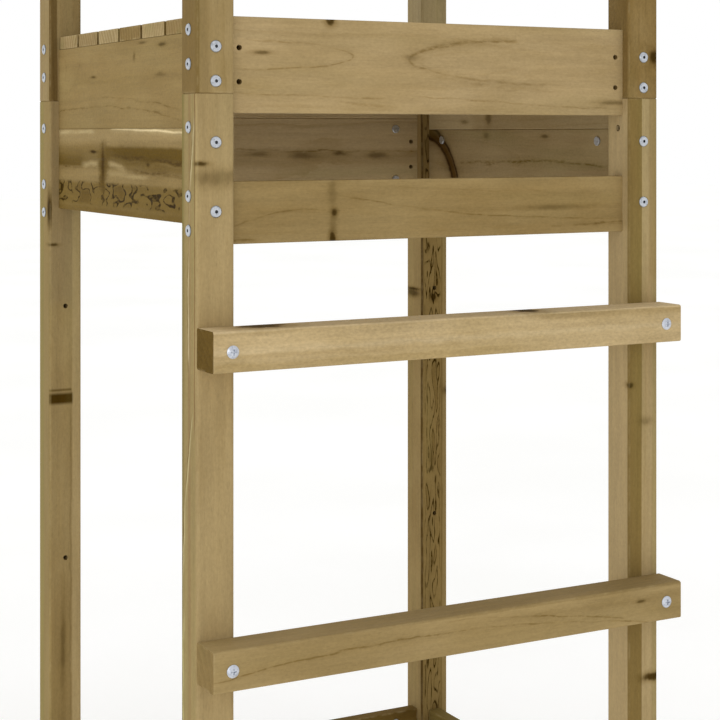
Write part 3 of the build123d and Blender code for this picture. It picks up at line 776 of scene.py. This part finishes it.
postTone = {"run": "Z", "width": "X", "green": 0.15, "lineShare": 0.12, "wearAndHighlight": 0.25}
postLooks = {
    "lower_post_front_left": {
        "seed": 41, "heart": (-6, 60), "ring": 9.0, "bend": 5,
        "pale": (168, 146, 103), "warm": (160, 138, 96),
        "knots": [
            {"at": (367, -16, -19), "size": (2.0, 7, 6), "dark": 0.75, "soft": 0.8},
            {"at": (354, 0, -19), "size": (8, 34, 6), "dark": 0.30, "soft": 1.0},
        ],
        "veins": [
            {"at": (245, 1.7), "on": 1, "curve": -0.0005, "from": 180, "to": 405, "wide": 1.5, "share": 0.9,
             "colour": (204, 187, 146), "skin": barLeft},
            {"at": (245, 3.6), "on": 1, "curve": -0.0005, "from": 170, "to": 400, "wide": 1.3, "share": 0.8,
             "skin": barLeft},
            {"at": (-29, 13), "on": 1, "curve": -0.0008, "from": -70, "to": 130, "wide": 1.5,
             "share": 0.9, "colour": (200, 186, 140), "skin": barLeft},
            {"at": (-29, 15), "on": 1, "curve": -0.0008, "from": -70, "to": 130, "wide": 1.3,
             "share": 0.8, "skin": barLeft},
            {"at": (-100, 14), "on": 1, "slope": 0.01, "from": -430, "to": -50, "wide": 1.8,
             "share": 0.8, "colour": (196, 186, 128), "skin": barLeft},
        ],
        "bands": [
            {"on": 1, "from": -16, "to": 25, "soft": 2, "share": 0.70, "colour": (152, 134, 88),
             "skin": barLeft},
            {"on": 1, "from": 12, "to": 25, "soft": 4, "share": 0.80, "colour": (118, 108, 58),
             "skin": barLeft},
            {"on": 1, "from": -4, "to": 2, "soft": 2, "share": 0.60, "colour": (146, 118, 80),
             "skin": barLeft, "wander": 9, "rag": 3},
            {"on": 1, "from": -17, "to": -14.5, "soft": 1, "share": 0.60, "colour": (184, 160, 112),
             "skin": barLeft, "start": 300, "rag": 2},
            {"on": 1, "from": -14.5, "to": -12.5, "soft": 0.6, "share": 0.70, "colour": (120, 86, 50),
             "skin": barLeft, "start": 120, "rag": 2},
        ],
    },
    "lower_post_front_right": {
        "seed": 43, "heart": (50, 6), "ring": 9.0, "bend": 4,
        "pale": (168, 147, 106), "warm": (160, 138, 97),
        "bands": [
            {"on": 1, "from": -22, "to": 22, "soft": 1, "share": 0.80, "colour": (182, 160, 118),
             "skin": barLeft},
            {"from": -25, "to": -2, "soft": 0.5, "share": 0.88, "colour": (119, 97, 50), "wander": 3,
             "rag": 0.4, "skin": barFront},
            {"from": 12, "to": 22, "soft": 4, "share": 0.4, "colour": (136, 124, 74), "skin": barFront},
            {"from": 7, "to": 22, "soft": 2.5, "share": 0.6, "colour": (140, 118, 74), "start": 240,
             "skin": barFront},
        ],
        "knots": [
            {"at": (-180, 12, -19), "size": (4.2, 12, 12), "dark": 0.95, "soft": 0.5},
            {"at": (130, -18, -19), "size": (2.8, 5, 6), "dark": 0.75, "soft": 0.6},
            {"at": (91, 3, -19), "size": (4, 8, 9), "dark": 0.25, "soft": 1.0},
        ],
    },
    "lower_post_back_left": {
        "seed": 45, "heart": (6, 60), "ring": 9.0, "bend": 4,
        "pale": (156, 135, 92), "warm": (147, 125, 82),
        "knots": [
            {"at": (268, -14, -19), "size": (1.8, 6, 8), "dark": 0.65, "soft": 0.5},
            {"at": (-190, -3, -19), "size": (46, 3, 8), "dark": 0.30, "soft": 0.9},
            # a dark brown patch on the left face beside the bolt, drawn with the knot shape
            {"at": (308, -19, -16), "size": (16, 8, 4.5), "dark": 0.9, "soft": 0.8, "skin": barLeft},
        ],
        "bands": [
            {"from": -30, "to": 9, "start": 86, "stop": 98, "snap": 2.5, "share": 1.0,
             "colour": (70, 50, 12), "rag": 4, "skin": barFront},
            {"from": -30, "to": 7, "start": 100.5, "stop": 103, "snap": 1.5, "share": 0.80,
             "colour": (84, 62, 22), "rag": 4, "skin": barFront},
            {"from": -18, "to": 6, "stop": -150, "snap": 40, "soft": 2, "share": 0.40,
             "colour": (112, 88, 42), "rag": 6, "skin": barFront},
            {"from": -30, "to": 9, "start": 200, "soft": 1, "share": 0.45, "colour": (142, 124, 92),
             "skin": barFront},
            {"from": 8, "to": 30, "soft": 1.0, "share": 0.5, "colour": (178, 157, 114), "skin": barFront},
            {"from": 5.0, "to": 6.6, "soft": 1.4, "share": 0.40, "colour": (104, 82, 44), "rag": 7,
             "stop": 70, "skin": barFront},
            {"on": 1, "from": -19, "to": 22, "soft": 2, "share": 0.40, "colour": (146, 126, 78),
             "skin": barLeft},
            {"on": 1, "from": 2, "to": 16, "soft": 4, "share": 0.5, "colour": (142, 132, 76),
             "skin": barLeft},
        ],
    },
    "lower_post_back_right": {
        "seed": 47, "heart": (-10, 50), "ring": 8.0, "bend": 5,
        "pale": (152, 130, 86), "warm": (142, 119, 76),
        "bands": [
            {"from": -19.5, "to": 19.5, "soft": 0.8, "share": 0.75, "colour": (124, 102, 58),
             "skin": barFront},
            {"from": 11, "to": 30, "soft": 1.5, "share": 0.45, "colour": (150, 129, 86), "skin": barFront},
            {"from": -19, "to": -16.8, "soft": 0.7, "share": 0.8, "colour": (66, 46, 18), "rag": 2,
             "skin": barFront},
            {"from": 10, "to": 11.6, "soft": 0.8, "share": 0.5, "colour": (90, 68, 32), "rag": 2,
             "skin": barFront},
        ],
        "curls": [
            {"from": -14, "to": 8, "cells": (16.0, 110.0, 20.0), "rings": 6.5, "share": 1.3},
        ],
        "knots": [
            {"at": (191, -19, 3), "size": (5, 7, 15), "dark": 0.75, "soft": 0.7, "skin": barLeft},
            {"at": (196, -19, 3), "size": (1.5, 7, 15), "dark": 0.85, "soft": 0.5, "skin": barLeft},
            {"at": (186, -2, -19), "size": (5, 4, 8), "dark": 0.85, "soft": 0.4},
            {"at": (66, 20, -19), "size": (5, 8, 8), "dark": 0.60, "soft": 0.8},
            {"at": (-20, -4, -19), "size": (10, 4, 8), "dark": 0.35, "soft": 0.9},
        ],
    },
    "upper_post_front_left": {
        "seed": 51, "heart": (-30, 50), "ring": 8.0, "bend": 6, "lineShare": 0.2,
        "pale": (160, 138, 96), "warm": (148, 126, 82),
        "bands": [
            {"from": -19.5, "to": -6, "soft": 4, "share": 0.5, "colour": (134, 112, 70), "skin": barFront},
            {"on": 1, "from": -19.5, "to": 19.5, "soft": 1, "share": 0.7, "colour": (112, 89, 46),
             "skin": barLeft},
        ],
    },
    "upper_post_front_right": {
        "seed": 53, "heart": (30, 40), "ring": 8.0, "bend": 6, "lineShare": 0.2,
        "pale": (142, 119, 76), "warm": (124, 100, 56), "mottle": 0.5, "cloudy": 0.5,
        "knots": [{"at": (-494, 14, -19), "size": (7, 6, 12), "dark": 0.85, "soft": 0.5, "lift": 1.3}],
    },
    "upper_post_back_left": {
        "seed": 55, "heart": (20, -50), "ring": 8.0, "bend": 6, "lineShare": 0.2,
        "pale": (158, 137, 96), "warm": (148, 127, 84),
        "bands": [
            {"from": -20, "to": -9.5, "soft": 1.0, "share": 0.9, "colour": (102, 81, 44),
             "skin": barFront},
            {"from": -9.5, "to": 20, "soft": 1.0, "share": 0.85, "colour": (146, 125, 83),
             "skin": barFront},
        ],
    },
    "upper_post_back_right": {
        "seed": 57, "heart": (-20, -50), "ring": 8.0, "bend": 6, "lineShare": 0.2,
        "pale": (172, 155, 118), "warm": (162, 144, 106),
        "bands": [
            {"from": -22, "to": 22, "soft": 1, "share": 0.8, "colour": (150, 133, 95), "skin": barFront},
        ],
    },
}
for nodeName, piece in postLooks.items():
    dress(nodeName, {**postTone, **piece})
print("posts dressed")


# deck boards, from the front

deckTones = [
    ((152, 129, 88), (134, 111, 68)),
    ((170, 149, 108), (152, 130, 88)),
    ((144, 121, 78), (126, 103, 60)),
    ((178, 157, 116), (150, 128, 84)),
    ((160, 138, 98), (138, 116, 74)),
    ((168, 146, 106), (130, 107, 64)),
]
for number, (pale, warm) in enumerate(deckTones, 1):
    dice = random.Random(60 + number)
    deckBoard = {
        "run": "X", "width": "Y", "seed": 60 + number,
        "pale": pale, "warm": warm, "endPale": pale, "endDark": warm,
        # the board sides facing the gaps carry painted shade
        "heart": (dice.choice((-1, 1)) * dice.uniform(60, 90), -20), "ring": 6.5, "gapShadeShare": 0.9,
        "knots": [
            {"at": (dice.uniform(-200, 200), dice.uniform(-20, 20), 7), "size": (7, 6, 16), "dark": 0.85,
             "lift": 1.3},
        ],
    }
    dress(f"deck_board_{number}", deckBoard)
print("deck dressed")


# boards that the front view shows little or nothing of

def spareLook(run, seed):
    dice = random.Random(seed)
    count = dice.choice((1, 2, 2, 3))
    knots = []
    for _ in range(count):
        size = dice.uniform(3.5, 8.0)
        knots.append({
            "at": (dice.uniform(-180, 180), dice.uniform(-34, 34), dice.choice((-8, 8))),
            "size": (size * dice.uniform(1.0, 1.5), size, 18),
            "dark": dice.uniform(0.6, 1.0),
            "lift": 1.3,
        })
    tone = dice.uniform(-9, 9)
    return {
        "run": run, "width": "Z", "seed": seed,
        "pale": (156 + tone, 135 + tone, 94 + tone),
        "warm": (144 + tone, 121 + tone, 78 + tone),
        "heart": (dice.uniform(-20, 20), dice.choice((-1, 1)) * dice.uniform(60, 90)),
        "bend": dice.uniform(12, 20),
        "knots": knots,
    }


spareBoards = {
    "X": ["base_front_board", "base_back_board", "top_front_board", "top_back_board",
          "back_guard_board_1", "back_guard_board_2", "back_guard_board_3"],
    "Y": ["base_left_board", "base_right_board", "top_left_board", "top_right_board",
          "left_guard_board_1", "left_guard_board_2", "left_guard_board_3",
          "right_guard_board_1", "right_guard_board_2", "right_guard_board_3"],
}
seed = 80
darkFigure = {
    "pale": (138, 116, 70), "warm": (116, 93, 49),
    "bands": [{"from": 26, "to": 50, "soft": 3, "share": 0.6, "colour": (100, 78, 35), "wander": 8}],
}
for run, names in spareBoards.items():
    for nodeName in names:
        look = spareLook(run, seed)
        if nodeName in ("base_back_board", "base_right_board"):
            look.update(darkFigure)
        dress(nodeName, look)
        seed += 1
print("guard, base and top boards dressed")


# dowels

beech = {
    "pale": (196, 160, 116), "dark": (172, 132, 88), "rays": (150, 108, 66),
    "poreCells": (900.0, 900.0, 60.0),       # per metre
    "toneCells": (60.0, 60.0, 20.0),
    "rough": 0.55, "poreRough": 0.2,
    "bumpStrength": 0.3, "bumpDistance": 0.0004,
}


def makeBeech(look):
    bench = Bench("beech_dowels")
    where = bench.node("ShaderNodeTexCoord", output="Object")
    pores = bench.cloud(where, look["poreCells"], (3.0, 7.0, 1.0), 2.0, 0.6)
    tone = bench.cloud(where, look["toneCells"], (9.0, 2.0, 5.0), 2.0, 0.5)
    colour = bench.mix(tone.rise(0.35, 0.65), paint(*look["pale"]), paint(*look["dark"]))
    colour = bench.mix(pores.rise(0.55, 0.7) * 0.6, colour, paint(*look["rays"]))
    rough = look["rough"] + pores * look["poreRough"]
    normal = bench.node("ShaderNodeBump", {}, {
        "Strength": look["bumpStrength"], "Distance": look["bumpDistance"], "Height": pores,
    })
    return bench.finishSurface({"Base Color": colour, "Roughness": rough, "Normal": normal})


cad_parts["post_dowels"].material_slots[0].material = makeBeech(beech)
print("dowels dressed")


# zinc fixings

zincLooks = {
    # the last value of each is the share of painted shade in head rims and sockets
    "bolts": {"pale": (200, 204, 210), "dull": (172, 177, 184), "rough": 0.34, "recessShade": 0.85},
    "nuts": {"pale": (206, 209, 214), "dull": (176, 180, 188), "rough": 0.42, "recessShade": 0.0},
    "screws": {"pale": (206, 210, 218), "dull": (182, 187, 198), "rough": 0.36, "recessShade": 0.0},
}
zincSkin = {
    "spangles": 700.0,                       # crystals, cells per metre
    "smearCells": (260.0, 260.0, 260.0),
    "scratchCells": (3200.0, 3200.0, 500.0),
    # painted shade in head rims and sockets: its colours, and the depths where it starts
    "rimShade": (120, 120, 116), "rimFrom": (-1.3, -0.4),         # millimetres inside the posts' faces
    "socketShade": (96, 98, 102), "socketFrom": (0.3, 1.0),
    "dullRough": 0.10, "scratchRough": 0.08,
    "bumpStrength": 0.05, "bumpDistance": 0.0001,
}


def makeZinc(name, look):
    bench = Bench("zinc_" + name)
    where = bench.node("ShaderNodeTexCoord", output="Object")
    spangle = bench.node(
        "ShaderNodeTexVoronoi",
        {"feature": "F1"},
        {"Vector": where, "Scale": zincSkin["spangles"], "Randomness": 1.0},
        1,
    )
    facet = bench.node("ShaderNodeSeparateColor", {}, {0: spangle}, 0)
    smear = bench.cloud(where, zincSkin["smearCells"], (4.0, 8.0, 2.0), 3.0, 0.6)
    scratch = bench.cloud(where, zincSkin["scratchCells"], (1.0, 6.0, 9.0), 1.0, 0.5)
    dull = (facet * 0.5 + smear.rise(0.35, 0.7) * 0.5).rise(0.2, 0.9)
    colour = bench.mix(dull, paint(*look["pale"]), paint(*look["dull"]))

    # painted shade in the head rims and sockets: depth of a point inside the posts' outer faces
    low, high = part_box("lower_post_front_left")[0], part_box("lower_post_back_right")[1]
    inward = [bench.part(where, side) - low[side] for side in range(2)]
    inward += [high[side] - bench.part(where, side) for side in range(2)]
    depth = inward[0].least(inward[1]).least(inward[2].least(inward[3]))
    rim = depth.rise(*inMetres(zincSkin["rimFrom"]))
    colour = bench.mix(rim * look["recessShade"], colour, paint(*zincSkin["rimShade"]))
    socket = depth.rise(*inMetres(zincSkin["socketFrom"]))
    colour = bench.mix(socket * look["recessShade"], colour, paint(*zincSkin["socketShade"]))
    rough = look["rough"] + dull * zincSkin["dullRough"] + (scratch - 0.5) * zincSkin["scratchRough"]
    normal = bench.node("ShaderNodeBump", {}, {
        "Strength": zincSkin["bumpStrength"], "Distance": zincSkin["bumpDistance"], "Height": scratch,
    })
    return bench.finishSurface({
        "Base Color": colour, "Metallic": 1.0, "Roughness": rough, "Normal": normal,
    })


zinc = {name: makeZinc(name, look) for name, look in zincLooks.items()}
for nodeName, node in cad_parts.items():
    kind = nodeName.split("_")[-1]
    if kind in zinc:
        node.material_slots[0].material = zinc[kind]
print("fixings dressed")


# floor and light

white = (1.0, 1.0, 1.0, 1.0)
studio = {
    "floorSize": 40.0,
    "floorPaint": (236, 236, 234),
    "floorPatches": (240, 240, 239),
    "patchCells": (1.5, 1.5, 1.5),           # per metre
    "floorRough": 0.9,
    "floorSpecular": 0.1,
    "floorLift": 0.25,                       # glow that keeps it pale in the shadow
    "backdrop": 1.0,                         # the sky as the camera sees it
    "sky": 0.88,                             # and as it lights the wood
    "keyPower": 34.0,
    "keySize": 3.0,
    "keyPlace": (-3.4, -4.2, 1.5),
    "keyAim": (0.0, 0.0, 0.9),
}


def makeFloor(setup):
    half = setup["floorSize"] / 2
    mesh = bpy.data.meshes.new("floor")
    corners = [(-half, -half, 0.0), (half, -half, 0.0), (half, half, 0.0), (-half, half, 0.0)]
    mesh.from_pydata(corners, [], [(0, 1, 2, 3)])
    floor = bpy.data.objects.new("floor", mesh)
    scene.collection.objects.link(floor)
    bench = Bench("floor_paint")
    where = bench.node("ShaderNodeTexCoord", output="Object")
    patches = bench.cloud(where, setup["patchCells"], (2.0, 4.0, 0.0), 3.0, 0.5).rise(0.3, 0.7)
    colour = bench.mix(patches, paint(*setup["floorPaint"]), paint(*setup["floorPatches"]))
    mesh.materials.append(bench.finishSurface({
        "Base Color": colour,
        "Roughness": setup["floorRough"],
        "Specular IOR Level": setup["floorSpecular"],
        "Emission Color": white,
        "Emission Strength": setup["floorLift"],
    }))


def makeSky(setup):
    world = bpy.data.worlds.new("studio")
    world.use_nodes = True
    scene.world = world
    nodes = world.node_tree.nodes
    links = world.node_tree.links
    nodes.clear()
    seen = nodes.new("ShaderNodeBackground")
    seen.inputs["Color"].default_value = white
    seen.inputs["Strength"].default_value = setup["backdrop"]
    lit = nodes.new("ShaderNodeBackground")
    lit.inputs["Color"].default_value = white
    lit.inputs["Strength"].default_value = setup["sky"]
    ray = nodes.new("ShaderNodeLightPath")
    choose = nodes.new("ShaderNodeMixShader")
    last = nodes.new("ShaderNodeOutputWorld")
    links.new(ray.outputs["Is Camera Ray"], choose.inputs[0])
    links.new(lit.outputs[0], choose.inputs[1])
    links.new(seen.outputs[0], choose.inputs[2])
    links.new(choose.outputs[0], last.inputs["Surface"])


def makeSoftbox(name, place, aim, size, power):
    data = bpy.data.lights.new(name, "AREA")
    data.shape = "SQUARE"
    data.size = size
    data.energy = power
    lamp = bpy.data.objects.new(name, data)
    lamp.location = place
    reach = [aim[side] - place[side] for side in range(3)]
    flatReach = math.hypot(reach[0], reach[1])
    tilt = math.atan2(flatReach, -reach[2])
    lamp.rotation_euler = (tilt, 0, math.atan2(reach[1], reach[0]) - math.pi / 2)
    scene.collection.objects.link(lamp)


makeFloor(studio)
makeSky(studio)
makeSoftbox("key_softbox", studio["keyPlace"], studio["keyAim"], studio["keySize"], studio["keyPower"])
scene.view_settings.view_transform = "Standard"
scene.view_settings.look = "None"
print("floor and light ready")
